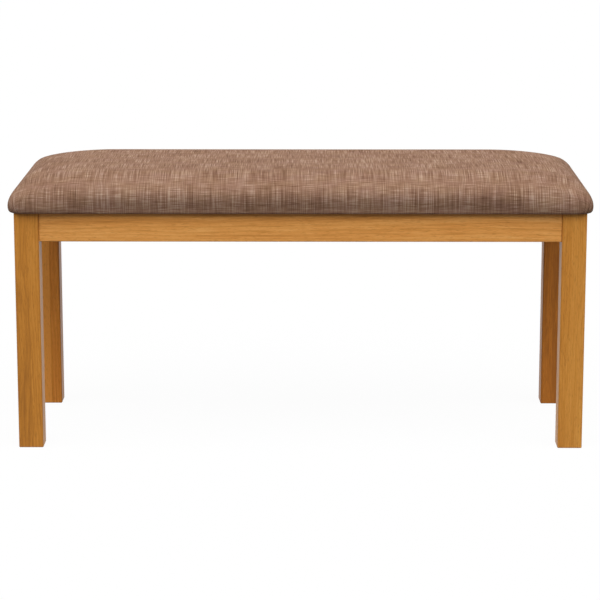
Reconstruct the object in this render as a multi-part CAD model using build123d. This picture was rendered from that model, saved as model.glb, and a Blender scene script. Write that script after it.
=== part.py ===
from build123d import *
import os
from math import sqrt

# A dining bench: a square-legged oak frame that carries an upholstered seat pad.
#
# The frame has four legs, two long aprons and two end aprons, joined by haunched tenons whose ends are
# mitred where they meet inside each leg. Glued and screwed blocks brace the corners, and two dowelled
# bearers cross the frame. The pad is a plywood board with crowned foam, a fabric cover turned under the
# board, and a dust cover beneath. Screws come up through the blocks and bearers into the board and hold
# the pad down.
#
# Lengths are in millimetres. X runs along the bench, Y from its front to its back, and Z up. The origin
# is on the floor under the middle of the bench.

# Legs
frame_length = 1020.0  # over the outer faces of the legs
frame_depth = 372.0
leg_height = 430.0
leg_side = 44.0
leg_arris = 1.5
foot_bevel = 1.0

# Aprons
apron_height = 51.0
apron_thickness = 20.0
apron_setback = 3.0  # from the outer face of the legs to the face of the apron
apron_arris = 1.0

# Haunched tenons, mitred where they meet
tenon_thickness = 7.0
tenon_foot = 6.0  # shoulder under the tenon
haunch_drop = 14.0
haunch_length = 9.0
glue_gap = 0.1
mitre_gap = 1.0

# Corner blocks
block_width = 24.0  # across the diagonal strip
block_height = 32.0
block_gap = 4.0  # clear of the leg's inner corner
seat_relief = 1.0  # blocks and bearers stop short of the seat

# Bearers between the long aprons, and their dowels
bearer_width = 45.0
bearer_thickness = 20.0
bearer_offset = 155.0  # from the middle of the bench
bearer_arris = 1.5
dowel_diameter = 8.0
dowel_length = 30.0
dowel_in_apron = 14.0
dowel_spacing = 22.0
dowel_chamfer = 1.0
dowel_flutes = 12  # flat sides that let the glue past
dowel_room = 0.8  # left at each end of a dowel for glue

# Screws
screw_sides = 12
screw_diameter = 4.2
screw_head_diameter = 8.4
screw_head_height = 2.6
screw_point = 4.0
screw_clearance = 0.3  # on the diameter, where a screw passes through
recess_clearance = 1.0  # on the diameter, round a head
block_screw_length = 25.0
block_screw_bite = 14.0  # into the apron
seat_screw_length = 30.0
seat_screw_bite = 11.0  # into the board
bearer_screw_offset = 92.0  # from the bench's centreline

# Seat pad
pad_overhang = 12.0  # beyond the outer faces of the legs
pad_thickness = 71.5
edge_height = 11.5  # from the underside to the pad's widest line
edge_tuck = 6.0  # how far the cover draws in beneath that line
pad_corner_radius = 24.0
fabric_thickness = 1.2
foam_gap = 0.2
hem_width = 38.0

# Seat board and dust cover
board_thickness = 15.0
board_inset = 8.5
board_corner_radius = 20.0
board_edge_arris = 3.0
foam_skirt_lift = 4.0  # the foam's skirt stops this far above the board's underside
dust_thickness = 0.5
dust_inset = 16.0  # from the edge of the board

# How the pad rises from its widest line to its crown: a share of the way in, and of the height there
pad_under_shares = [(0.0, 1.0), (0.35, 0.25), (1.0, 0.0)]  # below that line: height, tuck
pad_levels = 12
pad_crown_end_share = 0.6  # of the way to the centreline, where the top lies level
pad_end_fullness = 5  # how soon the shoulder reaches the crown's height, at the ends
pad_end_power = 2  # how late the ends lean in as they rise
pad_front_fullness = 6  # the same two along the front and back, which stand steeper
pad_front_power = 2.5
pad_round_share = 0.9  # how round the plan of the crown is at most
pad_round_power = 3  # how late the tight corners below open up to it

overrun = 5.0  # by which a cut runs past what it cuts

# Places that follow from the sizes
half_length = frame_length / 2
half_depth = frame_depth / 2
apron_bottom = leg_height - apron_height
cheek_outer = apron_setback + (apron_thickness - tenon_thickness) / 2
cheek_inner = cheek_outer + tenon_thickness
apron_inner = apron_setback + apron_thickness
tenon_bottom = apron_bottom + tenon_foot
tenon_top = leg_height - haunch_drop
relief_top = leg_height - seat_relief
block_bottom = relief_top - block_height
bearer_bottom = relief_top - bearer_thickness
pad_bottom = leg_height + dust_thickness
board_bottom = pad_bottom + fabric_thickness
board_top = board_bottom + board_thickness
pad_length = frame_length + 2 * pad_overhang
pad_depth = frame_depth + 2 * pad_overhang
seat_screw_seat = board_bottom + seat_screw_bite - seat_screw_length

# The block's two long faces, as the sum of the distances from the leg's two outer faces
block_outer_sum = 2 * leg_side + block_gap * sqrt(2)
block_inner_sum = block_outer_sum + block_width * sqrt(2)
block_middle = (block_outer_sum + block_inner_sum) / 4
block_screw_along = (block_outer_sum + block_inner_sum) / 2 - apron_inner
block_screw_seat = apron_inner - block_screw_bite + block_screw_length
block_screw_height = block_bottom + block_height / 2


def box_between(low, high):
    """A box from its lowest to its highest corner."""
    size = [h - l for l, h in zip(low, high)]
    middle = [(h + l) / 2 for l, h in zip(low, high)]
    return Pos(*middle) * Box(*size)


def corner_prism(points, bottom, top):
    """A prism at the back right corner. Its plan points are distances in from the legs' two outer faces."""
    plan = [(half_length - a, half_depth - b) for a, b in points]
    outline = Polyline(*plan, close=True)
    return extrude(Pos(0, 0, bottom) * make_face(outline), top - bottom)


def corner_box(low, high, bottom, top):
    """A box at the back right corner, by its plan distances in from the legs' two outer faces."""
    return box_between(
        (half_length - high[0], half_depth - high[1], bottom),
        (half_length - low[0], half_depth - low[1], top),
    )


def swap(points):
    """The same plan points for the piece on the other side of the corner's diagonal."""
    return [(b, a) for a, b in points]


def at_corners(piece):
    """The back right corner's piece, mirrored to all four corners under their names."""
    front = mirror(piece, about=Plane.XZ)
    return {
        "back_right": piece,
        "back_left": mirror(piece, about=Plane.YZ),
        "front_right": front,
        "front_left": mirror(front, about=Plane.YZ),
    }


def screw(length):
    """A pan-head wood screw, twelve-sided, that points up from the underside of its head at Z 0."""
    shank = RegularPolygon(screw_diameter / 2, screw_sides)
    shank_length = length - screw_point
    body = extrude(shank, shank_length)
    body += loft([Pos(0, 0, shank_length) * shank, Vertex(0, 0, length)])
    return body + extrude(RegularPolygon(screw_head_diameter / 2, screw_sides), -screw_head_height)


def screw_clearance_hole(length, recess):
    """The loose hole that a screw passes through, with a recess for its head and as many sides as it."""
    hole_radius = (screw_diameter + screw_clearance) / 2
    recess_radius = (screw_head_diameter + recess_clearance) / 2
    hole = extrude(RegularPolygon(hole_radius, screw_sides, major_radius=False), length)
    return hole + extrude(RegularPolygon(recess_radius, screw_sides, major_radius=False), -recess)


def block_screw_places():
    """Where the back right block's two screws sit: one points into each apron."""
    long_side = Pos(half_length - block_screw_along, half_depth - block_screw_seat, block_screw_height)
    end_side = Pos(half_length - block_screw_seat, half_depth - block_screw_along, block_screw_height)
    return [long_side * Rot(-90, 0, 0), end_side * Rot(0, 90, 0)]


def seat_screw_places():
    """Where the seat screws sit: one in each corner block and two in each bearer."""
    spots = [
        (sx * (half_length - block_middle), sy * (half_depth - block_middle))
        for sx in (-1, 1)
        for sy in (-1, 1)
    ]
    spots += [
        (sx * bearer_offset, sy * bearer_screw_offset) for sx in (-1, 1) for sy in (-1, 1)
    ]
    return [Pos(x, y, seat_screw_seat) for x, y in spots]


def dowel_places():
    """Centres of the dowels, which lie along Y across the bearers' shoulders."""
    joint = half_depth - apron_inner
    centre = joint + dowel_in_apron - dowel_length / 2
    height = bearer_bottom + bearer_thickness / 2
    return [
        Pos(sx * bearer_offset + side * dowel_spacing / 2, sy * centre, height) * Rot(90, 0, 0)
        for sx in (-1, 1)
        for sy in (-1, 1)
        for side in (-1, 1)
    ]


def dowels():
    """Glued beech dowels, fluted, with bevelled ends."""
    dowel = extrude(RegularPolygon(dowel_diameter / 2, dowel_flutes), dowel_length / 2, both=True)
    ends = dowel.faces().sort_by(Axis.Z)
    dowel = chamfer(ends[0].edges() + ends[-1].edges(), dowel_chamfer)
    return [place * dowel for place in dowel_places()]


def dowel_holes():
    hole = Cylinder(dowel_diameter / 2 + glue_gap, dowel_length + 2 * dowel_room)
    return [place * hole for place in dowel_places()]


def leg():
    """The back right leg: bevelled long edges and foot, and two mortises that meet inside."""
    body = corner_box((0, 0), (leg_side, leg_side), 0, leg_height)
    body = chamfer(body.edges().filter_by(Axis.Z), leg_arris)
    body = chamfer(body.faces().sort_by(Axis.Z)[0].edges(), foot_bevel)
    near = cheek_outer - glue_gap
    far = cheek_inner + glue_gap
    reach = leg_side + overrun
    low = tenon_bottom - glue_gap
    high = tenon_top + glue_gap
    groove = leg_side - haunch_length - glue_gap
    body -= corner_box((near, near), (reach, far), low, high)
    body -= corner_box((near, near), (far, reach), low, high)
    body -= corner_box((groove, near), (reach, far), tenon_top, leg_height + overrun)
    body -= corner_box((near, groove), (far, reach), tenon_top, leg_height + overrun)
    return body


def tenon():
    """The tenon at the back right end of the back apron: mitred end, and a short haunch above."""
    plan = [
        (leg_side + overrun, cheek_outer),
        (cheek_outer + mitre_gap, cheek_outer),
        (cheek_inner + mitre_gap, cheek_inner),
        (leg_side + overrun, cheek_inner),
    ]
    haunch = [
        (leg_side + overrun, cheek_outer),
        (leg_side - haunch_length, cheek_outer),
        (leg_side - haunch_length, cheek_inner),
        (leg_side + overrun, cheek_inner),
    ]
    return plan, haunch


def apron_body(low, high, outward):
    """A rail whose outer face has a fine bevel all round, which shows as a line where it meets the leg."""
    body = box_between(low, high)
    return chamfer(body.faces().sort_by(outward)[-1].edges(), apron_arris)


def long_apron():
    """The back apron, with its tenons, dowel holes and screw holes."""
    shoulder = half_length - leg_side
    body = apron_body(
        (-shoulder, half_depth - apron_inner, apron_bottom),
        (shoulder, half_depth - apron_setback, leg_height),
        Axis.Y,
    )
    plan, haunch = tenon()
    end = corner_prism(plan, tenon_bottom, tenon_top) + corner_prism(haunch, tenon_top, leg_height)
    body = body + end + mirror(end, about=Plane.YZ)
    bite = block_screw_places()[0] * screw(block_screw_length)
    body = body - bite - mirror(bite, about=Plane.YZ)
    for hole in dowel_holes():
        body -= hole
    return body


def end_apron():
    """The right apron, with its tenons and screw holes."""
    shoulder = half_depth - leg_side
    body = apron_body(
        (half_length - apron_inner, -shoulder, apron_bottom),
        (half_length - apron_setback, shoulder, leg_height),
        Axis.X,
    )
    plan, haunch = tenon()
    end = corner_prism(swap(plan), tenon_bottom, tenon_top)
    end += corner_prism(swap(haunch), tenon_top, leg_height)
    body = body + end + mirror(end, about=Plane.XZ)
    bite = block_screw_places()[1] * screw(block_screw_length)
    return body - bite - mirror(bite, about=Plane.XZ)


def corner_block():
    """The back right block: a strip across the corner, its ends cut to bear on the aprons' inner faces."""
    plan = [
        (block_outer_sum - apron_inner, apron_inner),
        (block_inner_sum - apron_inner, apron_inner),
        (apron_inner, block_inner_sum - apron_inner),
        (apron_inner, block_outer_sum - apron_inner),
    ]
    body = corner_prism(plan, block_bottom, relief_top)
    for place in block_screw_places():
        body -= place * screw_clearance_hole(block_screw_length, block_width)
    seat_place = Pos(half_length - block_middle, half_depth - block_middle, seat_screw_seat)
    return body - seat_place * screw_clearance_hole(seat_screw_length, block_height)


def bearer():
    """The right bearer: a flat rail across the frame, doweled to both long aprons."""
    reach = half_depth - apron_inner
    body = box_between(
        (bearer_offset - bearer_width / 2, -reach, bearer_bottom),
        (bearer_offset + bearer_width / 2, reach, relief_top),
    )
    body = chamfer(body.edges().filter_by(Axis.Y), bearer_arris)
    for hole in dowel_holes():
        body -= hole
    for place in seat_screw_places():
        body -= place * screw_clearance_hole(seat_screw_length, bearer_thickness)
    return body


def pad_rise(bottom, widest, top, half_room):
    """The levels of the pad's form: the height, the inset at the ends and along the front, and how far the
    corners have opened at each."""
    levels = [
        (bottom + height * (widest - bottom), tuck * edge_tuck, tuck * edge_tuck, 0)
        for height, tuck in pad_under_shares
    ]
    full_rise = 1 - (1 - pad_crown_end_share) ** pad_end_fullness
    for level in range(1, pad_levels + 1):
        way = pad_crown_end_share * (level / pad_levels) ** 2
        rise = ((1 - (1 - way) ** pad_end_fullness) / full_rise) ** (1 / pad_end_power)
        front_way = 1 - (1 - full_rise * rise**pad_front_power) ** (1 / pad_front_fullness)
        height = widest + rise * (top - widest)
        levels.append((height, way * half_room, front_way * half_room, rise**pad_round_power))
    return levels


def pad_form(skin):
    """The pad's crowned form, taken in all round by skin: rounded outlines, lofted upwards."""
    bottom = pad_bottom + skin
    widest = pad_bottom + edge_height
    top = pad_bottom + pad_thickness - skin
    half_room = pad_depth / 2 - skin
    corner = pad_corner_radius - skin
    outlines = []
    for height, inset, front_inset, opening in pad_rise(bottom, widest, top, half_room):
        radius = corner + opening * (pad_round_share * (half_room - inset) - corner)
        length = pad_length - 2 * (skin + inset)
        depth = pad_depth - 2 * (skin + front_inset)
        outlines.append(Pos(0, 0, height) * RectangleRounded(length, depth, radius))
    return loft(outlines, ruled=True)


def flat_panel(inset, corner_radius, bottom, top):
    """A flat panel with rounded corners, its outline taken in from the pad's by inset."""
    outline = RectangleRounded(pad_length - 2 * inset, pad_depth - 2 * inset, corner_radius)
    return extrude(Pos(0, 0, bottom) * outline, top - bottom)


def board_blank():
    body = flat_panel(board_inset, board_corner_radius, board_bottom, board_top)
    return chamfer(body.faces().sort_by(Axis.Z)[-1].edges(), board_edge_arris)


def seat_board():
    """The plywood board, its upper edge bevelled so that it can't be felt through the foam."""
    body = board_blank()
    for place in seat_screw_places():
        body -= place * screw(seat_screw_length)
    return body


def seat_foam():
    """Foam glued to the board, with a skirt that laps the board's edge."""
    body = pad_form(fabric_thickness + foam_gap)
    under = flat_panel(0, pad_corner_radius, pad_bottom, board_bottom + foam_skirt_lift)
    return body - under - board_blank()


def seat_cover():
    """The fabric cover: one skin over the foam, turned under the board in a flat hem."""
    window = flat_panel(
        board_inset + hem_width, board_corner_radius, pad_bottom - overrun, board_bottom + glue_gap
    )
    return pad_form(0) - pad_form(fabric_thickness) - window


def dust_cover():
    """The non-woven sheet under the pad, pierced by the seat screws."""
    body = flat_panel(board_inset + dust_inset, board_corner_radius, leg_height, pad_bottom)
    for place in seat_screw_places():
        body -= place * screw(seat_screw_length)
    return body


def bench():
    """Every piece of the bench, by its name. Nodes with several solids hold identical fasteners."""
    back_apron = long_apron()
    right_apron = end_apron()
    right_bearer = bearer()
    pieces = {f"leg_{corner}": piece for corner, piece in at_corners(leg()).items()}
    pieces |= {f"corner_block_{corner}": piece for corner, piece in at_corners(corner_block()).items()}
    pieces["apron_back"] = back_apron
    pieces["apron_front"] = mirror(back_apron, about=Plane.XZ)
    pieces["apron_right"] = right_apron
    pieces["apron_left"] = mirror(right_apron, about=Plane.YZ)
    pieces["bearer_right"] = right_bearer
    pieces["bearer_left"] = mirror(right_bearer, about=Plane.YZ)
    pieces["bearer_dowels"] = Compound(dowels())
    block_screws = []
    for place in block_screw_places():
        block_screws += at_corners(place * screw(block_screw_length)).values()
    pieces["block_screws"] = Compound(block_screws)
    pieces["seat_screws"] = Compound(
        [place * screw(seat_screw_length) for place in seat_screw_places()]
    )
    pieces["seat_board"] = seat_board()
    pieces["seat_foam"] = seat_foam()
    pieces["seat_cover"] = seat_cover()
    pieces["dust_cover"] = dust_cover()
    return pieces


os.makedirs("parts", exist_ok=True)
for name, piece in bench().items():
    export_step(piece, f"parts/{name}.step")
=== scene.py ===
import math

import bmesh
import bpy
import numpy as np
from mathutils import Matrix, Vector


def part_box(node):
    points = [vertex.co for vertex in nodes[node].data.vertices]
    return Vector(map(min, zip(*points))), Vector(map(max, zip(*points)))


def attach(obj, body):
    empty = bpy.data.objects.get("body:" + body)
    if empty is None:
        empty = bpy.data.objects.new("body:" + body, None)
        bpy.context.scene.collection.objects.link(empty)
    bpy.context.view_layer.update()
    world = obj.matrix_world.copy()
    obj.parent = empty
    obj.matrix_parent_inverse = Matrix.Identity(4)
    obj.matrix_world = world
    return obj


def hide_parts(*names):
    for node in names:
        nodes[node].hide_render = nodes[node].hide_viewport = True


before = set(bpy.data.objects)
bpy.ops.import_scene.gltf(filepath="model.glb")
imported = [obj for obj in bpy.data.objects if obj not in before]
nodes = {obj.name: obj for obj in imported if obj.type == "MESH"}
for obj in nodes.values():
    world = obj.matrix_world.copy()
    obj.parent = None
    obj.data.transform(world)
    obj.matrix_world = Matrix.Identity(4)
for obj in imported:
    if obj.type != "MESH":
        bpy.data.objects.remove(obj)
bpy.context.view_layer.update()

# The legs: four square legs of solid oak, each glued up from two staves, planed, bevelled down every
# corner, and finished with a honey stain under a satin lacquer.

MM = 0.001


def linear(code):
    """An sRGB hex colour as the linear values that Blender works in."""
    channels = [int(code[i : i + 2], 16) / 255 for i in (1, 3, 5)]
    return tuple(c / 12.92 if c <= 0.04045 else ((c + 0.055) / 1.055) ** 2.4 for c in channels) + (1.0,)


def add(tree, kind, links=None, stops=None, **settings):
    """Adds a node: settings are its properties, links its inputs, and stops a ramp's places and colours."""
    made = tree.nodes.new(kind)
    for name, value in settings.items():
        setattr(made, name, value)
    for key, value in (links or {}).items():
        if isinstance(value, bpy.types.NodeSocket):
            tree.links.new(value, made.inputs[key])
        else:
            made.inputs[key].default_value = value
    if stops:
        ramp = made.color_ramp.elements
        while len(ramp) < len(stops):
            ramp.new(0.5)
        for element, (place, colour) in zip(ramp, stops):
            element.position = place
            element.color = linear(colour)
    return made


def new_material(name, **constants):
    """A material with one Principled surface, whose constant values are set on its own sockets."""
    material = bpy.data.materials.new(name)
    material.use_nodes = True
    tree = material.node_tree
    surface = tree.nodes["Principled BSDF"]
    for key, value in constants.items():
        surface.inputs[key.replace("_", " ")].default_value = value
    return material, tree, surface


def streaks(tree, where, size, detail=2.0, output=0):
    """Noise whose patches are as large as size, in the units of where. Its values lie about 0.5: output 0
    has one at each place, and output 1 has three."""
    shrunk = add(
        tree, "ShaderNodeVectorMath", {0: where, 1: tuple(1 / s for s in size)}, operation="MULTIPLY"
    ).outputs[0]
    noise = add(tree, "ShaderNodeTexNoise", {"Vector": shrunk, "Scale": 1.0, "Detail": detail})
    return noise.outputs[output]


def weigh(tree, parts, start):
    """Start plus each value's distance from 0.5, times its weight."""
    total = start - 0.5 * sum(weight for _, weight in parts)
    for value, weight in parts:
        total = add(
            tree, "ShaderNodeMath", {0: value, 1: weight, 2: total}, operation="MULTIPLY_ADD"
        ).outputs[0]
    return total


# Sizes of the wood's patterns, in mm, twice across the grain and once along it.
wander_size = (55, 55, 420)  # how slowly the rings drift
fibre_size = (1.8, 1.8, 50.0)  # coarser than real fibres, so that they show
board_size = (16.0, 16.0, 260.0)  # broad changes of tone
pore_size = (0.9, 0.9, 11.0)
next_board = (23.0, -41.0, 870.0)  # how far off in the tree the second stave grew
year_shades = [(0.0, "#9C9C9C"), (0.12, "#5A5A5A"), (0.38, "#B4B4B4"), (0.8, "#E0E0E0"), (1.0, "#9C9C9C")]
end_darkening = 0.35
FACTOR, FIRST, SECOND, MIXED = 0, 6, 7, 2  # the sockets of a Mix node that mixes colours


def in_the_tree(tree, node, grain, pith, stave_joint):
    """Where each point lay in the tree that it was sawn from, in mm, with the pith along Z, and which stave
    it is in: 0 or 1, or 0.5 in a piece sawn from one board."""
    low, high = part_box(node)
    turn = Vector(grain).rotation_difference(Vector((0, 0, 1))).to_euler()
    middle = (low + high) / (2 * MM)
    shift = Vector((*pith, 0)) - turn.to_matrix() @ middle
    here = add(tree, "ShaderNodeTexCoord").outputs["Object"]
    mapped = add(
        tree,
        "ShaderNodeMapping",
        {"Vector": here, "Location": shift, "Rotation": turn, "Scale": (1 / MM,) * 3},
    ).outputs[0]
    if stave_joint is None:
        return mapped, 0.5
    across = add(tree, "ShaderNodeSeparateXYZ", {0: here}).outputs[0]
    stave = add(tree, "ShaderNodeMath", {0: across, 1: stave_joint}, operation="GREATER_THAN").outputs[0]
    away = add(tree, "ShaderNodeVectorMath", {0: next_board, "Scale": stave}, operation="SCALE").outputs[0]
    return add(tree, "ShaderNodeVectorMath", {0: mapped, 1: away}, operation="ADD").outputs[0], stave


def wood(name, node, grain, pith, tones, ring_width, figure=9.0, pore=0.5, lightness=0.54,
         stave_joint=None, stave_contrast=0.0, **finish):
    """Sawn wood: growth rings round a pith that lies along the grain, fibres, open pores and end grain. The
    pith's place, the ring width and the figure, which is how far the rings wander, are in mm."""
    material, tree, surface = new_material(name, **finish)
    mapped, stave = in_the_tree(tree, node, grain, pith, stave_joint)
    wave = streaks(tree, mapped, wander_size, output=1)
    bend = add(
        tree, "ShaderNodeVectorMath", {0: wave, 1: (0.5, 0.5, 0.5)}, operation="SUBTRACT"
    ).outputs[0]
    bent = add(
        tree,
        "ShaderNodeVectorMath",
        {0: bend, 1: (2 * figure, 2 * figure, 0), 2: mapped},
        operation="MULTIPLY_ADD",
    ).outputs[0]
    flat = add(tree, "ShaderNodeVectorMath", {0: bent, 1: (1, 1, 0)}, operation="MULTIPLY").outputs[0]
    from_pith = add(tree, "ShaderNodeVectorMath", {0: flat}, operation="LENGTH").outputs["Value"]
    year = add(tree, "ShaderNodeMath", {0: from_pith, 1: ring_width}, operation="DIVIDE").outputs[0]
    season = add(tree, "ShaderNodeMath", {0: year}, operation="FRACT").outputs[0]
    growth = add(tree, "ShaderNodeValToRGB", {0: season}, year_shades).outputs[0]
    fibre = streaks(tree, bent, fibre_size, 3.0)
    broad = streaks(tree, bent, board_size)
    open_pore = streaks(tree, bent, pore_size, 1.0)
    tone = weigh(tree, [(growth, 0.26), (fibre, 0.72), (broad, 0.5), (stave, stave_contrast)], lightness)
    colour = add(
        tree, "ShaderNodeValToRGB", {0: tone}, [(0.1, tones[0]), (0.5, tones[1]), (0.9, tones[2])]
    ).outputs[0]
    hollow = add(
        tree,
        "ShaderNodeMapRange",
        {"Value": open_pore, "From Min": 0.56, "From Max": 0.7, "To Min": 0.0, "To Max": pore},
    ).outputs[0]
    facing = add(tree, "ShaderNodeTexCoord").outputs["Normal"]
    along = add(
        tree, "ShaderNodeVectorMath", {0: facing, 1: Vector(grain).normalized()}, operation="DOT_PRODUCT"
    ).outputs["Value"]
    end_grain = add(tree, "ShaderNodeMath", {0: along}, operation="ABSOLUTE").outputs[0]
    dark = add(
        tree,
        "ShaderNodeMath",
        {0: end_grain, 1: end_darkening, 2: hollow},
        operation="MULTIPLY_ADD",
        use_clamp=True,
    ).outputs[0]
    shaded = add(
        tree, "ShaderNodeMix", {FACTOR: dark, FIRST: colour, SECOND: linear(tones[0])}, data_type="RGBA"
    ).outputs[MIXED]
    relief = weigh(tree, [(fibre, 0.5), (open_pore, -0.8)], 0.5)
    bump = add(
        tree, "ShaderNodeBump", {"Height": relief, "Strength": 0.25, "Distance": 0.15 * MM}
    ).outputs[0]
    rough = add(
        tree,
        "ShaderNodeMapRange",
        {"Value": fibre, "From Min": 0.3, "From Max": 0.7, "To Min": 0.5, "To Max": 0.38},
    ).outputs[0]
    tree.links.new(shaded, surface.inputs["Base Color"])
    tree.links.new(rough, surface.inputs["Roughness"])
    tree.links.new(bump, surface.inputs["Normal"])
    return material


def finish_node(node, material):
    """A CAD node keeps its mesh and gets a better material."""
    nodes[node].material_slots[0].material = material


# Lacquered oak: a thin clear coat over stained open grain, which gives a soft, even shine on a warm honey
# colour with fine darker pores.
lacquer = {"Coat_Weight": 0.06, "Coat_Roughness": 0.25, "IOR": 1.5, "Specular_IOR_Level": 0.18}
front_tones = ("#965F24", "#BE7D30", "#D29444")
back_tones = ("#9E5D22", "#C97B2D", "#DE9240")  # the back legs are given redder tones than the front legs
# Each leg's tones, pith and ring width in mm, lightness, the X of its glue line in mm, and how much paler
# the stave to the right of that line is.
leg_facts = {
    "leg_front_left": (front_tones, (18.0, 41.0), 4.2, 0.47, -485.0, 0.1),
    "leg_front_right": (front_tones, (-74.0, 47.0), 3.6, 0.63, 484.0, 0.15),
    "leg_back_left": (back_tones, (52.0, -33.0), 5.0, 0.86, -485.7, -0.55),
    "leg_back_right": (back_tones, (-29.0, -58.0), 5.5, 0.34, 486.0, -0.15),
}
for leg, (tones, pith, ring_width, lightness, glue_line, contrast) in leg_facts.items():
    oak = wood(
        f"lacquered oak of {leg}", leg, (0, 0, 1), pith, tones, ring_width, figure=15.0,
        lightness=lightness, stave_joint=glue_line * MM, stave_contrast=contrast, **lacquer,
    )
    finish_node(leg, oak)

# The aprons: oak rails set 3 mm back from the legs' faces and tenoned into them, sawn so that their grain
# runs in long flat waves along the rail.

apron_tones = ("#A86A28", "#D8944A", "#E9AE64")
# Each apron's grain, and its pith and ring width in mm.
apron_facts = {
    "apron_front": ((1, 0, 0), (19.0, 46.0), 4.4),
    "apron_back": ((1, 0, 0), (-23.0, 51.0), 4.0),
    "apron_left": ((0, 1, 0), (44.0, 17.0), 4.8),
    "apron_right": ((0, 1, 0), (-48.0, 22.0), 4.1),
}
for apron, (grain, pith, ring_width) in apron_facts.items():
    oak = wood(f"lacquered oak of {apron}", apron, grain, pith, apron_tones, ring_width, **lacquer)
    finish_node(apron, oak)

# The corner blocks, bearers and dowels: planed pine, unfinished, glued inside the frame where it braces the
# joints and carries the screws that hold the pad. Beech dowels join the bearers to the long aprons.

pine_tones = ("#B98A52", "#DDBA84", "#F0DCB2")
unfinished = {"IOR": 1.45, "Specular_IOR_Level": 0.25}
inner_pine = {
    "corner_block_front_left": (1, -1, 0),
    "corner_block_front_right": (1, 1, 0),
    "corner_block_back_left": (1, 1, 0),
    "corner_block_back_right": (1, -1, 0),
    "bearer_left": (0, 1, 0),
    "bearer_right": (0, 1, 0),
}
for count, (piece, grain) in enumerate(inner_pine.items()):
    pith = (30.0 + 7.0 * count, 42.0 - 9.0 * count)  # each is sawn from another place in the tree
    pine = wood(
        f"planed pine of {piece}", piece, grain, pith, pine_tones, 3.4, figure=5.0, pore=0.1, **unfinished
    )
    finish_node(piece, pine)
beech_tones = ("#A87C50", "#CDA276", "#DFBB92")
beech = wood(
    "fluted beech", "bearer_dowels", (0, 1, 0), (9.0, 4.0), beech_tones, 2.2, pore=0.25, **unfinished
)
finish_node("bearer_dowels", beech)

# The screws: pan-head wood screws of zinc-plated steel with a cross recess. Eight hold the corner blocks
# to the aprons, and eight come up through the blocks and bearers into the seat board.


def solids_of(node):
    """The points of each separate solid of a CAD node."""
    mesh = bmesh.new()
    mesh.from_mesh(nodes[node].data)
    bmesh.ops.remove_doubles(mesh, verts=mesh.verts, dist=0.01 * MM)
    left = set(mesh.verts)
    found = []
    while left:
        newest = {left.pop()}
        group = set(newest)
        while newest:
            newest = {edge.other_vert(point) for point in newest for edge in point.link_edges} & left
            left -= newest
            group |= newest
        found.append(np.array([point.co for point in group]))
    mesh.free()
    return sorted(found, key=lambda points: tuple(np.round(points.mean(0), 4)))


def screw_seat(points, head_height):
    """Where the underside of a screw's head is, and which way the screw points."""
    axis = int(np.argmax(np.ptp(points, axis=0)))
    along = points[:, axis]
    low, high = along.min(), along.max()
    middle = (points.max(0) + points.min(0)) / 2
    spread = np.linalg.norm(np.delete(points - middle, axis, axis=1), axis=1)
    low_spread = spread[along < low + head_height / 2].max()
    high_spread = spread[along > high - head_height / 2].max()
    head_is_low = low_spread > high_spread
    aim = np.zeros(3)
    aim[axis] = 1.0 if head_is_low else -1.0
    middle[axis] = low if head_is_low else high
    return middle + aim * head_height, aim


def sized_tree(name, sizes):
    """A Geometry Nodes tree with a named input for each size, and its input and output nodes."""
    tree = bpy.data.node_groups.new(name, "GeometryNodeTree")
    tree.is_modifier = True
    tree.interface.new_socket(name="Geometry", in_out="OUTPUT", socket_type="NodeSocketGeometry")
    tree.interface.new_socket(name="Geometry", in_out="INPUT", socket_type="NodeSocketGeometry")
    for size in sizes:
        tree.interface.new_socket(name=size, in_out="INPUT", socket_type="NodeSocketFloat")
    return tree, add(tree, "NodeGroupInput").outputs, add(tree, "NodeGroupOutput")


def grown(name, start, tree, sizes):
    """The plain mesh object that a tree makes of the start mesh with these sizes."""
    seedling = bpy.data.objects.new(f"{name}_start", start)
    bpy.context.scene.collection.objects.link(seedling)
    modifier = seedling.modifiers.new("grow", "NODES")
    modifier.node_group = tree
    for item in tree.interface.items_tree:
        if item.item_type == "SOCKET" and item.in_out == "INPUT" and item.name in sizes:
            modifier[item.identifier] = sizes[item.name]
    evaluated = seedling.evaluated_get(bpy.context.evaluated_depsgraph_get())
    piece = bpy.data.objects.new(name, bpy.data.meshes.new_from_object(evaluated))
    bpy.data.objects.remove(seedling)
    bpy.context.scene.collection.objects.link(piece)
    return piece


def steel():
    """Zinc-plated steel: thin bright plating over drawn wire, which gives a cool, slightly cloudy shine."""
    material, tree, surface = new_material("zinc-plated steel", Metallic=1.0)
    here = add(tree, "ShaderNodeTexCoord").outputs["Object"]
    mapped = add(tree, "ShaderNodeVectorMath", {0: here, "Scale": 1 / MM}, operation="SCALE").outputs[0]
    cloud = streaks(tree, mapped, (2.5, 2.5, 2.5), 3.0)
    colour = add(
        tree, "ShaderNodeValToRGB", {0: cloud}, [(0.3, "#B9BCBE"), (0.55, "#CFCFC8"), (0.75, "#D8D2BC")]
    ).outputs[0]
    rough = add(
        tree,
        "ShaderNodeMapRange",
        {"Value": cloud, "From Min": 0.3, "From Max": 0.7, "To Min": 0.24, "To Max": 0.42},
    ).outputs[0]
    tree.links.new(colour, surface.inputs["Base Color"])
    tree.links.new(rough, surface.inputs["Roughness"])
    return material


head_sides, shank_sides = 28, 20
crown_share = 0.72  # the flat top of a head, as a share of its width
slot_share = 0.13  # a slot of the cross recess, as a share of the head's width
slot_place = 1.1  # the slots' middle, in head heights from the underside: they go 0.4 of one deep
tip_radius = 0.05 * MM


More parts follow.
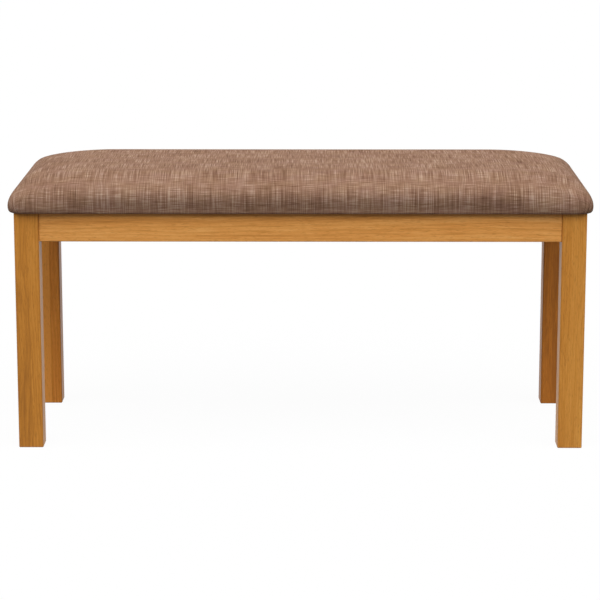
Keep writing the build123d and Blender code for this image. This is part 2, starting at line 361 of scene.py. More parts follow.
def screw_tree(material):
    """Pan-head screws, one at each point, that point the way of its aim. Z is 0 under a screw's head."""
    tree, sizes, result = sized_tree("pan head screws", ["Head", "Head height", "Shank", "Length", "Point"])
    half_head, half_height, half_shank = (
        add(tree, "ShaderNodeMath", {0: sizes[size], 1: 0.5}, operation="MULTIPLY").outputs[0]
        for size in ("Head", "Head height", "Shank")
    )
    crown_radius, slot_width = (
        add(tree, "ShaderNodeMath", {0: size, 1: share}, operation="MULTIPLY").outputs[0]
        for size, share in ((half_head, crown_share), (sizes["Head"], slot_share))
    )
    plain = add(
        tree, "ShaderNodeMath", {0: sizes["Length"], 1: sizes["Point"]}, operation="SUBTRACT"
    ).outputs[0]
    half_plain = add(tree, "ShaderNodeMath", {0: plain, 1: 0.5}, operation="MULTIPLY").outputs[0]
    rim_drop, crown_drop, slot_drop = (
        add(tree, "ShaderNodeMath", {0: size, 1: -share}, operation="MULTIPLY").outputs[0]
        for size, share in ((half_height, 0.5), (half_height, 2.0), (sizes["Head height"], slot_place))
    )
    slot_sizes = [
        add(tree, "ShaderNodeCombineXYZ", {0: x_side, 1: y_side, 2: sizes["Head height"]}).outputs[0]
        for x_side, y_side in ((half_head, slot_width), (slot_width, half_head))
    ]
    crown_sizes = {"Radius Top": half_head, "Radius Bottom": crown_radius, "Depth": half_height}
    tip_sizes = {"Radius Top": tip_radius, "Radius Bottom": half_shank, "Depth": sizes["Point"]}
    bodies = [
        ("Cylinder", {"Vertices": head_sides, "Radius": half_head, "Depth": half_height}, rim_drop),
        ("Cone", {"Vertices": head_sides, "Side Segments": 1, **crown_sizes}, crown_drop),
        ("Cylinder", {"Vertices": shank_sides, "Radius": half_shank, "Depth": plain}, half_plain),
        ("Cone", {"Vertices": shank_sides, **tip_sizes}, plain),
        *(("Cube", {"Size": size}, slot_drop) for size in slot_sizes),
    ]
    moved = []
    for shape, shape_sizes, height in bodies:
        body = add(tree, f"GeometryNodeMesh{shape}", shape_sizes).outputs[0]
        place = add(tree, "ShaderNodeCombineXYZ", {2: height}).outputs[0]
        moved.append(add(tree, "GeometryNodeTransform", {"Geometry": body, "Translation": place}).outputs[0])
    rim, crown, shank, tip, *slots = moved
    head = add(tree, "GeometryNodeMeshBoolean", operation="UNION", solver="EXACT")
    for part in (rim, crown):
        tree.links.new(part, head.inputs["Mesh 2"])
    cut = add(
        tree, "GeometryNodeMeshBoolean", {"Mesh 1": head.outputs[0]}, operation="DIFFERENCE", solver="EXACT"
    )
    for slot in slots:
        tree.links.new(slot, cut.inputs["Mesh 2"])
    screw = add(tree, "GeometryNodeJoinGeometry")
    for part in (cut.outputs[0], shank, tip):
        tree.links.new(part, screw.inputs[0])
    aim = add(tree, "GeometryNodeInputNamedAttribute", {"Name": "aim"}, data_type="FLOAT_VECTOR").outputs[0]
    spin = add(
        tree, "FunctionNodeRandomValue", {2: -math.pi, 3: math.pi, "Seed": 11}, data_type="FLOAT"
    ).outputs[1]
    turned = add(tree, "FunctionNodeAxisAngleToRotation", {"Axis": (0, 0, 1), "Angle": spin}).outputs[0]
    upright = add(tree, "FunctionNodeAlignRotationToVector", {"Vector": aim}, axis="Z").outputs[0]
    facing = add(
        tree,
        "FunctionNodeRotateRotation",
        {"Rotation": upright, "Rotate By": turned},
        rotation_space="LOCAL",
    ).outputs[0]
    placed = add(
        tree,
        "GeometryNodeInstanceOnPoints",
        {"Points": sizes["Geometry"], "Instance": screw.outputs[0], "Rotation": facing},
    ).outputs[0]
    real = add(tree, "GeometryNodeRealizeInstances", {"Geometry": placed}).outputs[0]
    dressed = add(tree, "GeometryNodeSetMaterial", {"Geometry": real, "Material": material}).outputs[0]
    tree.links.new(dressed, result.inputs[0])
    return tree


screw_sizes = {"Head": 8.4 * MM, "Head height": 2.6 * MM, "Shank": 4.2 * MM, "Point": 4.0 * MM}
zinc = steel()
screws_of = screw_tree(zinc)
for node, length in (("block_screws", 25.0), ("seat_screws", 30.0)):
    seats = [screw_seat(points, screw_sizes["Head height"]) for points in solids_of(node)]
    start = bpy.data.meshes.new(f"{node}_points")
    start.from_pydata([seat for seat, _ in seats], [], [])
    aims = start.attributes.new("aim", "FLOAT_VECTOR", "POINT")
    aims.data.foreach_set("vector", np.array([aim for _, aim in seats], np.float32).ravel())
    made = grown(f"{node}_zinc", start, screws_of, {**screw_sizes, "Length": length * MM})
    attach(made, "root")
    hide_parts(node)

# The seat board: birch-faced plywood, its upper edge bevelled, with eleven plies that show as stripes
# round its edge.

plies = 11
level_limit = 0.9  # how upright a face's normal is where the board shows a face and no plies


def plywood():
    """Plywood: sliced veneers glued crosswise, which gives a pale face and a striped edge."""
    low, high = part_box("seat_board")
    material = wood(
        "birch plywood", "seat_board", (1, 0, 0), (310.0, 60.0), ("#B08A5C", "#D6B88A", "#E6D0A6"), 9.0,
        figure=20.0, pore=0.15, **unfinished,
    )
    tree = material.node_tree
    surface = tree.nodes["Principled BSDF"]
    face = surface.inputs["Base Color"].links[0].from_socket
    here = add(tree, "ShaderNodeTexCoord").outputs
    height, up = (
        add(tree, "ShaderNodeSeparateXYZ", {0: here[kind]}).outputs[2] for kind in ("Object", "Normal")
    )
    pairs_below = add(
        tree,
        "ShaderNodeMapRange",
        {"Value": height, "From Min": low.z, "From Max": high.z, "To Min": 0.0, "To Max": plies / 2},
        clamp=False,
    ).outputs[0]
    in_pair = add(tree, "ShaderNodeMath", {0: pairs_below}, operation="FRACT").outputs[0]
    crosswise = add(tree, "ShaderNodeMath", {0: in_pair, 1: 0.5}, operation="GREATER_THAN").outputs[0]
    flatness = add(tree, "ShaderNodeMath", {0: up}, operation="ABSOLUTE").outputs[0]
    edge = add(tree, "ShaderNodeMath", {0: flatness, 1: level_limit}, operation="LESS_THAN").outputs[0]
    both = add(tree, "ShaderNodeMath", {0: edge, 1: crosswise}, operation="MULTIPLY").outputs[0]
    striped = add(
        tree, "ShaderNodeMix", {FACTOR: both, FIRST: face, SECOND: linear("#8E6A42")}, data_type="RGBA"
    ).outputs[MIXED]
    tree.links.new(striped, surface.inputs["Base Color"])
    return material


finish_node("seat_board", plywood())

# The seat foam: one crowned block of cream foam, glued on the board, with a skirt that laps the board's
# edge so that no wood is felt through the cover's sides.

cover_low, cover_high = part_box("seat_cover")
board_low, board_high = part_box("seat_board")
half_length = (cover_high.x - cover_low.x) / 2
half_depth = (cover_high.y - cover_low.y) / 2
board_inset = board_low.x - cover_low.x
board_corner = 20 * MM
board_bevel = 3 * MM
skirt_lift = 4 * MM  # from the board's underside up to the foam's
foam_gap = 0.2 * MM
fabric_thickness = 1.2 * MM
hem_width = 38 * MM
corner_radius = 24 * MM
edge_height = 11.5 * MM  # from the pad's underside to its widest line
edge_tuck = 6 * MM  # how far the cover draws in beneath that line
crown_end = 0.6  # share of the way to the centreline at which the top lies level
end_fullness = 5  # how soon the shoulder reaches the crown's height, at the ends
end_power = 2  # how late the ends lean in as they rise
front_fullness = 6  # the same two along the front and back, which stand steeper
front_power = 2.5
round_share = 0.9  # the corners' radius at the crown, as a share of half its depth
ring_steps = {"long": 124, "end": 44, "corner": 14}  # along a side, an end, and half a corner
hem_rows, edge_rows, crown_rows = 8, 6, 34  # of the section: under the board, round the edge, and above
fine_steps = 400  # from which the rows above the edge are spaced evenly


def ring_stations():
    """Round the pad from the middle of its front left corner: which corner centre each station follows, and
    the way that it faces."""
    corner, turns = 2 * ring_steps["corner"], []
    signs = [(-1, -1), (1, -1), (1, 1), (-1, 1)]
    for index, (sx, sy) in enumerate(signs):
        angles = math.pi * (1 + index / 2) + np.arange(corner) * math.pi / 2 / corner
        turns += [(sx, sy, math.cos(a), math.sin(a)) for a in angles]
        steps = ring_steps["end"] if index % 2 else ring_steps["long"]
        after = signs[(index + 1) % 4]
        facing = math.pi * (1.5 + index / 2)
        for share in np.arange(steps) / steps:
            x = sx + (after[0] - sx) * share
            y = sy + (after[1] - sy) * share
            turns.append((x, y, math.cos(facing), math.sin(facing)))
    return np.roll(np.array(turns), -ring_steps["corner"], axis=0).T


stations = ring_stations()


def ring(inset, radius, height, front_inset=None):
    """One rounded outline, taken in from the pad's widest line: by inset, or otherwise along the front."""
    sx, sy, nx, ny = stations
    x = sx * (half_length - inset - radius) + nx * radius
    y = sy * (half_depth - (inset if front_inset is None else front_inset) - radius) + ny * radius
    return np.stack([x, y, np.full_like(x, height)], axis=1)


def run_along(section, side):
    """How far along the cloth each row of a section lies, at the ends (side 0) or the front (side 1)."""
    steps = np.hypot(np.diff(section[:, side]), np.diff(section[:, 2]))
    return np.concatenate([[0], np.cumsum(steps)])


def pad_section(room, hem):
    """The pad's side in section, from the hem's inner edge up to the crown, with room left for its swell.
    Each row has its inset at the ends, its inset along the front, its height, how far the corners have
    opened, and its share of the full rise."""
    bottom = cover_low.z
    widest = bottom + edge_height
    top = cover_high.z - room
    hem_insets = np.linspace(hem, edge_tuck, hem_rows, endpoint=False)
    under = [(inset, inset, bottom, 0, 0) for inset in hem_insets]
    turn = np.linspace(0, math.pi / 2, edge_rows, endpoint=False)
    tucks = [edge_tuck * (1 - math.sin(angle)) for angle in turn]
    heights = [widest - (widest - bottom) * math.cos(angle) for angle in turn]
    edge = [(tuck, tuck, height, 0, 0) for tuck, height in zip(tucks, heights)]
    full = 1 - (1 - crown_end) ** end_fullness
    above = []
    for share in np.linspace(0, 1, fine_steps):
        way = crown_end * share**2
        rise = ((1 - (1 - way) ** end_fullness) / full) ** (1 / end_power)
        front_way = 1 - (1 - full * rise**front_power) ** (1 / front_fullness)
        height = widest + rise * (top - widest)
        above.append((way * half_depth, front_way * half_depth, height, rise**3, rise))
    above = np.array(above)
    run = run_along(above, 0)
    even = np.linspace(0, run[-1], crown_rows)
    above = np.stack([np.interp(even, run, column) for column in above.T], axis=1)
    return np.concatenate([under, edge, above])


def pad_rings(section):
    """The outlines of a section, each with its corners opened as far as the section says."""
    rings = []
    for inset, front_inset, height, opening, _ in section:
        radius = corner_radius + opening * (round_share * (half_depth - inset) - corner_radius)
        rings.append(ring(inset, radius, height, front_inset))
    return rings


def cap(rim, first, start):
    """A grid that fills the outline whose points start at first: its inner points, numbered from start, and
    its faces, which point up."""
    count = len(rim)
    wide = ring_steps["long"] + 2 * ring_steps["corner"]
    deep = ring_steps["end"] + 2 * ring_steps["corner"]
    index = np.zeros((wide + 1, deep + 1), int)
    index[:, 0] = first + np.arange(wide + 1)
    index[wide, :] = first + wide + np.arange(deep + 1)
    index[:, deep] = first + wide + deep + np.arange(wide, -1, -1)
    index[0, :] = first + (2 * wide + 2 * deep - np.arange(deep + 1)) % count
    a = np.linspace(0, 1, wide + 1)[:, None, None]
    b = np.linspace(0, 1, deep + 1)[None, :, None]
    front, back = rim[index[:, 0] - first][:, None], rim[index[:, deep] - first][:, None]
    left, right = rim[index[0, :] - first][None], rim[index[wide, :] - first][None]
    corners = (
        (1 - a) * (1 - b) * front[:1] + a * (1 - b) * front[-1:] + (1 - a) * b * back[:1] + a * b * back[-1:]
    )
    grid = (1 - b) * front + b * back + (1 - a) * left + a * right - corners
    inner = grid[1:-1, 1:-1].reshape(-1, 3)
    index[1:-1, 1:-1] = start + np.arange(len(inner)).reshape(wide - 1, deep - 1)
    faces = [
        (index[i, j], index[i + 1, j], index[i + 1, j + 1], index[i, j + 1])
        for i in range(wide)
        for j in range(deep)
    ]
    return inner, faces


def wrap(rings):
    """The faces that join each outline to the next."""
    count = len(rings[0])
    return [
        (j * count + i, j * count + (i + 1) % count, (j + 1) * count + (i + 1) % count, (j + 1) * count + i)
        for j in range(len(rings) - 1)
        for i in range(count)
    ]


def mesh_piece(name, points, faces, material=None):
    """A smooth mesh object in the scene."""
    mesh = bpy.data.meshes.new(name)
    mesh.from_pydata([tuple(p) for p in points], [], [tuple(int(i) for i in face) for face in faces])
    mesh.polygons.foreach_set("use_smooth", [True] * len(mesh.polygons))
    if material:
        mesh.materials.append(material)
    piece = bpy.data.objects.new(name, mesh)
    bpy.context.scene.collection.objects.link(piece)
    return piece


swell = 3 * MM  # the most that the cloth blows out
least_swell = 0.15  # the share of it that is left round the edge
pressure = 4.0
blowing_frames = 20


def inflate(points, faces, held, limits):
    """The cloth blown tight: its held points stay, and no other moves further than its limit."""
    piece = mesh_piece("cloth_trial", points, faces)
    group = piece.vertex_groups.new(name="held")
    group.add([int(i) for i in np.flatnonzero(held)], 1.0, "REPLACE")
    settings = piece.modifiers.new("cloth", "CLOTH").settings
    settings.vertex_group_mass = "held"
    settings.use_pressure = True
    settings.uniform_pressure_force = pressure
    settings.effector_weights.gravity = 0.0
    settings.quality = 4
    scene = bpy.context.scene
    for blown_frame in range(1, blowing_frames + 1):
        scene.frame_set(blown_frame)
    blown = np.zeros(len(points) * 3, np.float32)
    evaluated = piece.evaluated_get(bpy.context.evaluated_depsgraph_get())
    evaluated.data.vertices.foreach_get("co", blown)
    scene.frame_set(1)
    bpy.data.objects.remove(piece)
    move = blown.reshape(-1, 3) - points
    far = np.maximum(np.linalg.norm(move, axis=1), 1e-9)
    return points + move * np.minimum(1, limits / far)[:, None]


tuck_depth, tuck_height = 1.5 * MM, 24 * MM
tuck_angles = (15, 35, 55, 75)  # degrees round each corner
tuck_spread = 4.0  # degrees
between_tucks = 0.3  # how far the cloth stands out between them, as a share of their depth


def corner_tucks(points, side_count):
    """Small tucks that run up from the underside at each corner and fade out on the side."""
    nx, ny = stations[2:]
    placed = np.arange(side_count) % len(nx)
    angle = np.degrees(np.arctan2(ny, nx)[placed]) % 90
    side = points[:side_count]
    on_corner = (angle > 0.5) & (angle < 89.5)
    height = (side[:, 2] - cover_low.z) / tuck_height
    fade = np.clip(1 - height, 0, 1) ** 1.5 * on_corner
    tucks = sum(np.exp(-(((angle - place) / tuck_spread) ** 2)) for place in tuck_angles)
    depth = tuck_depth * fade * (tucks - between_tucks)
    moved = points.copy()
    moved[:side_count, 0] -= nx[placed] * depth
    moved[:side_count, 1] -= ny[placed] * depth
    return moved


belly = 3.8 * MM
belly_heights = [10 * MM, 45 * MM, 70 * MM]  # above the underside: where it starts, is fullest and ends
roll_tuck, roll_height = 6.8 * MM, 50 * MM  # how far the side draws in, and from what height down
lip_height = 6 * MM  # the tight turn round the board's lower edge
lip_share = 0.2  # of the roll's tuck
roll_start, roll_reach = 40 * MM, 150 * MM  # from the pad's ends: where it starts, and how far it grows


def rolled_under(points, side_count):
    """The long sides away from the corners: they belly a little, and roll under from there to the hem."""
    ny = stations[3]
    facing = ny[np.arange(side_count) % len(ny)]
    side = points[:side_count]
    height = side[:, 2] - cover_low.z
    lip, plain_tuck = (
        1 - np.sqrt(1 - np.clip(1 - height / rounded, 0, 1) ** 2) for rounded in (lip_height, edge_height)
    )
    lean = (1 - lip_share) * np.clip(1 - height / roll_height, 0, 1) ** 2 + lip_share * lip
    way_up = np.interp(height, belly_heights, [0, 1, 0])
    belly_out = belly * way_up**2 * (3 - 2 * way_up)
    from_corner = np.clip((half_length - np.abs(side[:, 0]) - roll_start) / roll_reach, 0, 1)
    share = from_corner**2 * (3 - 2 * from_corner) * facing**4
    inwards = roll_tuck * lean - edge_tuck * plain_tuck - belly_out
    moved = points.copy()
    moved[:side_count, 1] -= np.sign(facing) * inwards * share
    return moved


def taken_in(points, faces, depth):
    """The surface moved inwards along its normals."""
    trial = mesh_piece("taken_in_trial", points, faces)
    normals = np.zeros(len(points) * 3, np.float32)
    trial.data.vertices.foreach_get("normal", normals)
    bpy.data.objects.remove(trial)
    return points - normals.reshape(-1, 3) * depth


foam_cell = 1.25  # mm, larger than real cells, so that they show


def foam():
    """Polyurethane foam: open cells cut by a wire, which gives a dull cream surface full of fine pits."""
    material, tree, surface = new_material("cut seat foam", Roughness=0.95, Specular_IOR_Level=0.1)
    here = add(tree, "ShaderNodeTexCoord").outputs["Object"]
    mapped = add(tree, "ShaderNodeVectorMath", {0: here, "Scale": 1 / MM}, operation="SCALE").outputs[0]
    cells = add(tree, "ShaderNodeTexVoronoi", {"Vector": mapped, "Scale": 1 / foam_cell}).outputs["Distance"]
    colour = add(
        tree, "ShaderNodeValToRGB", {0: cells}, [(0.0, "#B9AD85"), (0.35, "#DDD3AE"), (0.8, "#EDE5C6")]
    ).outputs[0]
    bump = add(tree, "ShaderNodeBump", {"Height": cells, "Strength": 0.6, "Distance": 0.5 * MM}).outputs[0]
    tree.links.new(colour, surface.inputs["Base Color"])
    tree.links.new(bump, surface.inputs["Normal"])
    return material


pad_profile = pad_section(swell, board_inset + hem_width)
pad_outlines = pad_rings(pad_profile)
station_count = len(pad_outlines[0])
side_count = station_count * len(pad_outlines)
crown_points, crown_faces = cap(pad_outlines[-1], side_count - station_count, side_count)
pad_points = np.concatenate([*pad_outlines, crown_points])
pad_faces = wrap(pad_outlines) + crown_faces
held = pad_points[:, 2] < cover_low.z + edge_height / 2
risen = np.concatenate([np.repeat(pad_profile[:, 4], station_count), np.ones(len(crown_points))])
pad_points = inflate(pad_points, pad_faces, held, swell * np.maximum(risen, least_swell))
pad_points = rolled_under(corner_tucks(pad_points, side_count), side_count)

foam_bottom = board_low.z + skirt_lift
under_rings = int(np.sum(pad_profile[:, 2] < foam_bottom))
foam_outer = taken_in(pad_points, pad_faces, fabric_thickness + foam_gap)[under_rings * station_count :]
skirt = foam_outer[:station_count].copy()
skirt[:, 2] = foam_bottom
board_rings = [
    ring(board_inset + board_bevel, board_corner - board_bevel, board_high.z),
    ring(board_inset, board_corner, board_high.z - board_bevel),
    ring(board_inset, board_corner, foam_bottom),
    skirt,
]
board_count = station_count * len(board_rings)
outer_rings = len(pad_outlines) - under_rings
foam_faces = wrap(board_rings + [skirt] * outer_rings)
dropped = under_rings * station_count - board_count
foam_faces += [tuple(index - dropped for index in face) for face in crown_faces]
seat_points, seat_faces = cap(board_rings[0], 0, board_count + len(foam_outer))
foam_piece = mesh_piece(
    "seat_foam_block",
    np.concatenate([*board_rings, foam_outer, seat_points]),
    foam_faces + [face[::-1] for face in seat_faces],
    foam(),
)
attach(foam_piece, "root")
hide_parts("seat_foam")

# The seat cover: linen-look cloth of slub yarns in mixed taupes, woven plain, drawn tight over the foam,
# gathered into small tucks under each corner and stapled under the board in a flat hem.


def slub_cloth():
    """Slub-yarn upholstery cloth: spun yarns that run thick and thin, which give a dry, matte face hatched
    both ways with short pale and dark dashes. The sizes are mm along and across the seat. The yarns are
    drawn about twice as coarse as the real ones, so that they show."""
    material, tree, surface = new_material(
        "slub linen-look cloth",
        Roughness=0.92,
        Specular_IOR_Level=0.02,
        Sheen_Weight=0.01,
        Sheen_Roughness=0.5,
        Sheen_Tint=linear("#E2C9B2"),
    )
    flat = add(tree, "ShaderNodeUVMap", uv_map="cloth").outputs[0]
    yarns = add(tree, "ShaderNodeVectorMath", {0: flat, "Scale": 1 / MM}, operation="SCALE").outputs[0]
    warp = streaks(tree, yarns, (1.3, 60.0, 1.0), 1.0)
    weft = streaks(tree, yarns, (26.0, 1.2, 1.0), 1.0)
    warp_slub = streaks(tree, yarns, (2.2, 100.0, 1.0), 1.0)
    weft_slub = streaks(tree, yarns, (60.0, 2.2, 1.0), 1.0)
    picks = streaks(tree, yarns, (80.0, 7.0, 1.0), 2.0)
    patch = streaks(tree, yarns, (85.0, 85.0, 1.0), 2.0)
    hue = streaks(tree, yarns, (46.0, 22.0, 1.0), 3.0)
    yarn_weights = [(warp, 0.98), (weft, 0.74), (warp_slub, 0.2), (weft_slub, 0.18)]
    tone = weigh(tree, [*yarn_weights, (picks, 0.16), (patch, 0.32)], 0.5)
    pink, golden = (
        add(tree, "ShaderNodeValToRGB", {0: tone}, [(0.0, shade), (0.5, middle), (1.0, light)]).outputs[0]
        for shade, middle, light in (("#40281C", "#866554", "#BEA697"), ("#402A1C", "#876751", "#C0A890"))
    )
    blend = add(
        tree,
        "ShaderNodeMapRange",
        {"Value": hue, "From Min": 0.35, "From Max": 0.65, "To Min": 0.15, "To Max": 0.85},
    ).outputs[0]
    colour = add(
        tree, "ShaderNodeMix", {FACTOR: blend, FIRST: pink, SECOND: golden}, data_type="RGBA"
    ).outputs[MIXED]
    relief = weigh(tree, [(warp, 1.0), (weft, 1.0)], 0.5)
    bump = add(tree, "ShaderNodeBump", {"Height": relief, "Strength": 0.5, "Distance": 0.5 * MM}).outputs[0]
    tree.links.new(colour, surface.inputs["Base Color"])
    tree.links.new(bump, surface.inputs["Normal"])
    return material


def flat_places(section, rings, crown):
    """Where each point lies on the cloth before it is drawn down over the pad."""
    nx, ny = stations[2:]
    runs = [run_along(section, side) for side in (0, 1)]
    places = []
    for index, outline in enumerate(rings):
        end_slack, front_slack = (
            (run[-1] - run[index]) - (section[-1, side] - section[index, side])
            for side, run in enumerate(runs)
        )
        places.append(outline[:, :2] + np.stack([end_slack * nx, front_slack * ny], axis=1))
    return np.concatenate([*places, crown[:, :2]])


cloth_places = flat_places(pad_profile, pad_outlines, crown_points)
cover = mesh_piece("seat_cover_cloth", pad_points, pad_faces, slub_cloth())
flat_cloth = cover.data.uv_layers.new(name="cloth")
corner_of = np.zeros(len(cover.data.loops), int)
cover.data.loops.foreach_get("vertex_index", corner_of)
flat_cloth.data.foreach_set("uv", cloth_places[corner_of].astype(np.float32).ravel())
smooth = cover.modifiers.new("smooth", "SUBSURF")
smooth.levels = 1
smooth.render_levels = 1
wall = cover.modifiers.new("cloth thickness", "SOLIDIFY")
wall.thickness = fabric_thickness
wall.offset = -1.0
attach(cover, "root")
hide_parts("seat_cover")

# The dust cover: a sheet of black spunbonded fleece, cut to size and stapled flat under the pad, where it
# hides the board and the cover's hem. It sags a little between the frame's rails.

dust_low, dust_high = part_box("dust_cover")
dust_width, dust_depth = dust_high.x - dust_low.x, dust_high.y - dust_low.y
dust_thickness = dust_high.z - dust_low.z
dust_corner = 20 * MM
dust_edge = 4 * MM  # the strip along its edge that lies flat on the board
dots_apart = 2.5  # mm, of the fleece


def fleece():
    """Spunbonded fleece: matted fibres pressed in dots, which gives a dull black sheet with a fine grid."""
    material, tree, surface = new_material("black spunbonded fleece", Roughness=0.9, Specular_IOR_Level=0.2)
    here = add(tree, "ShaderNodeTexCoord").outputs["Object"]
    mapped = add(tree, "ShaderNodeVectorMath", {0: here, "Scale": 1 / MM}, operation="SCALE").outputs[0]
    tilted = add(tree, "ShaderNodeMapping", {"Vector": mapped, "Rotation": (0, 0, math.pi / 4)}).outputs[0]
    dots = add(
        tree, "ShaderNodeTexVoronoi", {"Vector": tilted, "Scale": 1 / dots_apart, "Randomness": 0.0}
    ).outputs["Distance"]
    pressed = add(
        tree,
        "ShaderNodeMapRange",
        {"Value": dots, "From Min": 0.18, "From Max": 0.3, "To Min": 0.0, "To Max": 1.0},
    ).outputs[0]
    fibres = streaks(tree, mapped, (0.8, 3.0, 1.0), 3.0)
    cloud = streaks(tree, mapped, (25.0, 25.0, 25.0), 3.0)
    tone = weigh(tree, [(pressed, 0.3), (fibres, 0.5), (cloud, 0.5)], 0.5)
    colour = add(
        tree, "ShaderNodeValToRGB", {0: tone}, [(0.1, "#121214"), (0.5, "#232326"), (0.95, "#3A3A3E")]
    ).outputs[0]
    bump = add(tree, "ShaderNodeBump", {"Height": pressed, "Strength": 0.5, "Distance": 0.2 * MM}).outputs[0]
    tree.links.new(colour, surface.inputs["Base Color"])
    tree.links.new(bump, surface.inputs["Normal"])
    return material


deepest_sag = 1.6 * MM
bearing_edge = 1 * MM  # how far past an apron's inner face the sheet still lies flat
rail_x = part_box("apron_right")[0].x - bearing_edge
rail_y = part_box("apron_back")[0].y - bearing_edge
bearer_x = sum(corner.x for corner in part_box("bearer_right")) / 2


def dust_sag(x, y):
    """How far the sheet hangs at each place: most in the middle of each bay between rails and bearers."""
    from_middle = np.abs(x)
    middle_bay = np.cos(x / bearer_x * math.pi / 2)
    end_bay = np.sin((from_middle - bearer_x) / (rail_x - bearer_x) * math.pi)
    bay = np.where(from_middle < bearer_x, middle_bay, end_bay)
    across = np.clip(1 - (y / rail_y) ** 2, 0, 1)
    return deepest_sag * np.clip(np.where(from_middle > rail_x, 0, bay), 0, 1) * across


dust_inset = half_length - dust_width / 2
dust_rings = [
    ring(dust_inset, dust_corner, dust_high.z),
    ring(dust_inset + dust_edge, dust_corner - dust_edge, dust_high.z),
]
rim_count = 2 * station_count
dust_points, dust_faces = cap(dust_rings[-1], station_count, rim_count)
dust_all = np.concatenate([*dust_rings, dust_points])
dust_all[:, 2] -= dust_sag(dust_all[:, 0], dust_all[:, 1])
dust_sheet = mesh_piece("dust_cover_sheet", dust_all, wrap(dust_rings) + dust_faces, fleece())
wall = dust_sheet.modifiers.new("fleece thickness", "SOLIDIFY")
wall.thickness = dust_thickness
wall.offset = -1.0
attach(dust_sheet, "root")
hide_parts("dust_cover")

# The staples: wire crowns that hold the dust cover up to the board, 38 mm apart along each side and
# driven a little askew. They stop short of the legs.

most_askew = math.radians(9)


def staple_tree(material):
    """Staples spaced along a line, each turned a little at random."""
    tree, sizes, result = sized_tree("staples", ["Spacing", "Crown", "Width", "Gauge", "Leg"])
    half_crown, half_gauge, half_leg = (
        add(tree, "ShaderNodeMath", {0: sizes[size], 1: 0.5}, operation="MULTIPLY").outputs[0]
        for size in ("Crown", "Gauge", "Leg")
    )
    reach = add(tree, "ShaderNodeMath", {0: half_crown, 1: half_gauge}, operation="SUBTRACT").outputs[0]
    back, drop = (
        add(tree, "ShaderNodeMath", {0: size, 1: -1.0}, operation="MULTIPLY").outputs[0]
        for size in (reach, half_gauge)
    )
    bars = []
    for bar_sizes, place in (
        (("Crown", "Width", "Gauge"), {2: drop}),
        (("Gauge", "Width", "Leg"), {0: reach, 2: half_leg}),
        (("Gauge", "Width", "Leg"), {0: back, 2: half_leg}),
    ):
        links = {axis: sizes[size] for axis, size in enumerate(bar_sizes)}
        bar_size = add(tree, "ShaderNodeCombineXYZ", links).outputs[0]
        bar = add(tree, "GeometryNodeMeshCube", {"Size": bar_size}).outputs[0]
        there = add(tree, "ShaderNodeCombineXYZ", place).outputs[0]
        bars.append(add(tree, "GeometryNodeTransform", {"Geometry": bar, "Translation": there}).outputs[0])
    staple = add(tree, "GeometryNodeJoinGeometry")
    for bar in bars:
        tree.links.new(bar, staple.inputs[0])
    line = add(tree, "GeometryNodeMeshToCurve", {"Mesh": sizes["Geometry"]}).outputs[0]
    spots = add(
        tree, "GeometryNodeCurveToPoints", {"Curve": line, "Length": sizes["Spacing"]}, mode="LENGTH"
    ).outputs
    along = add(tree, "FunctionNodeAlignRotationToVector", {"Vector": spots["Tangent"]}, axis="X").outputs[0]
    askew = add(
        tree, "FunctionNodeRandomValue", {2: -most_askew, 3: most_askew, "Seed": 5}, data_type="FLOAT"
    ).outputs[1]
    turned = add(tree, "FunctionNodeAxisAngleToRotation", {"Axis": (0, 0, 1), "Angle": askew}).outputs[0]
    facing = add(
        tree, "FunctionNodeRotateRotation", {"Rotation": along, "Rotate By": turned}, rotation_space="LOCAL"
    ).outputs[0]
    placed = add(
        tree,
        "GeometryNodeInstanceOnPoints",
        {"Points": spots["Points"], "Instance": staple.outputs[0], "Rotation": facing},
    ).outputs[0]
    real = add(tree, "GeometryNodeRealizeInstances", {"Geometry": placed}).outputs[0]
    dressed = add(tree, "GeometryNodeSetMaterial", {"Geometry": real, "Material": material}).outputs[0]
    tree.links.new(dressed, result.inputs[0])
    return tree


staple_sizes = {"Spacing": 38 * MM, "Crown": 10 * MM, "Width": 1.2 * MM, "Gauge": 0.6 * MM, "Leg": 2 * MM}
edge_distance = 16.5 * MM  # from the dust cover's edge to the line of staples
leg_clear = 8 * MM  # from the last staple's place to the leg
line_x, line_y = dust_width / 2 - edge_distance, dust_depth / 2 - edge_distance
leg_inner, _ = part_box("leg_back_right")
stop_x, stop_y = leg_inner.x - leg_clear, leg_inner.y - leg_clear
ends = [(sx * stop_x, sy * line_y, dust_low.z) for sy in (-1, 1) for sx in (-1, 1)]
ends += [(sx * line_x, sy * stop_y, dust_low.z) for sx in (-1, 1) for sy in (-1, 1)]
lines = bpy.data.meshes.new("staple_lines")
lines.from_pydata(ends, [(0, 1), (2, 3), (4, 5), (6, 7)], [])
staples = grown("dust_cover_staples", lines, staple_tree(zinc), staple_sizes)
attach(staples, "root")

# The floor and the light: a plain white floor in a white room, with two wide softboxes high in front, on
# the left and the right, and a low one behind.


def seen_directly(tree):
    """1 for what the camera sees, also in a shine or through glass, and 0 for light on the bench."""
    rays = add(tree, "ShaderNodeLightPath").outputs
    seen = rays["Is Camera Ray"]
    for kind in ("Is Glossy Ray", "Is Transmission Ray"):
        seen = add(tree, "ShaderNodeMath", {0: seen, 1: rays[kind]}, operation="MAXIMUM").outputs[0]
    return seen


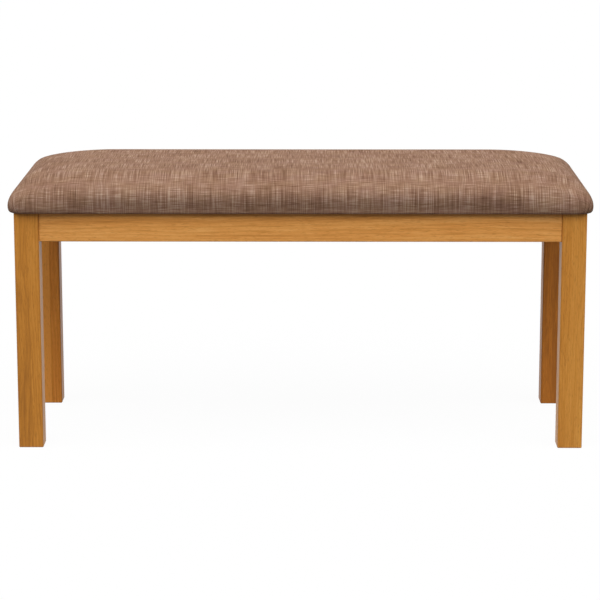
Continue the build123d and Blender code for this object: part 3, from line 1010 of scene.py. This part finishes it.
floor_reach = 60.0
floor_glow, glow_share = 1.2, 0.8  # the matt rest of the floor keeps a trace of the bench's shadow
floor_mesh = bpy.data.meshes.new("floor")
floor_corners = [(sx * floor_reach, sy * floor_reach, 0) for sx, sy in ((-1, -1), (1, -1), (1, 1), (-1, 1))]
floor_mesh.from_pydata(floor_corners, [], [(0, 1, 2, 3)])
floor = bpy.data.objects.new("floor", floor_mesh)
bpy.context.scene.collection.objects.link(floor)
paint = bpy.data.materials.new("matt white floor")
paint.use_nodes = True
tree = paint.node_tree
tree.nodes.clear()
shown = add(tree, "ShaderNodeMath", {0: seen_directly(tree), 1: glow_share}, operation="MULTIPLY").outputs[0]
matt = add(tree, "ShaderNodeBsdfDiffuse", {"Color": linear("#6C6C6C")}).outputs[0]
glow = add(tree, "ShaderNodeEmission", {"Color": (1, 1, 1, 1), "Strength": floor_glow}).outputs[0]
mixed = add(tree, "ShaderNodeMixShader", {0: shown, 1: matt, 2: glow}).outputs[0]
add(tree, "ShaderNodeOutputMaterial", {"Surface": mixed})
floor_mesh.materials.append(paint)

room_light, room_white = 0.14, 1.0  # how bright the room is as light on the bench, and as it is seen
world = bpy.data.worlds.new("white room")
bpy.context.scene.world = world
world.use_nodes = True
tree = world.node_tree
tree.nodes.clear()
strength = add(
    tree,
    "ShaderNodeMapRange",
    {"Value": seen_directly(tree), "From Min": 0, "From Max": 1, "To Min": room_light, "To Max": room_white},
).outputs[0]
white = add(tree, "ShaderNodeBackground", {"Color": (1, 1, 1, 1), "Strength": strength}).outputs[0]
add(tree, "ShaderNodeOutputWorld", {"Surface": white})

# Each softbox's direction from the bench, strength, and width in degrees.
lamps = {
    "left softbox": ((-0.54, -0.55, 1.0), 2.28, 64.0),
    "right softbox": ((0.54, -0.55, 1.0), 2.28, 64.0),
    "back softbox": ((-0.3, 1.0, 0.3), 1.0, 60.0),
}
for name, (towards, energy, width) in lamps.items():
    lamp = bpy.data.lights.new(name, "SUN")
    lamp.energy = energy
    lamp.angle = math.radians(width)
    holder = bpy.data.objects.new(name, lamp)
    holder.rotation_euler = Vector(towards).to_track_quat("Z", "Y").to_euler()
    bpy.context.scene.collection.objects.link(holder)

# The camera: a little over a metre above the floor and four metres in front of the bench, looking slightly
# down on it. It was fitted to the bench's edges in the photograph, without a lens shift.

sensor_width = 36.0
image_width = 600.0
focal_pixels = 2381.84
sideways, height = 23.72 * MM, 1144.18 * MM
frame_front, distance = 186.0, 4173.87  # mm
look_down, look_aside = 0.2056, 0.0058  # radians
camera_data = bpy.data.cameras.new("camera")
camera_data.sensor_width = sensor_width
camera_data.lens = focal_pixels / image_width * sensor_width
camera = bpy.data.objects.new("camera", camera_data)
camera.location = (sideways, -(frame_front + distance) * MM, height)
camera.rotation_euler = (math.pi / 2 - look_down, 0.0, look_aside)
camera_data.clip_end = 200.0
bpy.context.scene.collection.objects.link(camera)
bpy.context.scene.camera = camera
bpy.context.scene.view_settings.view_transform = "Standard"
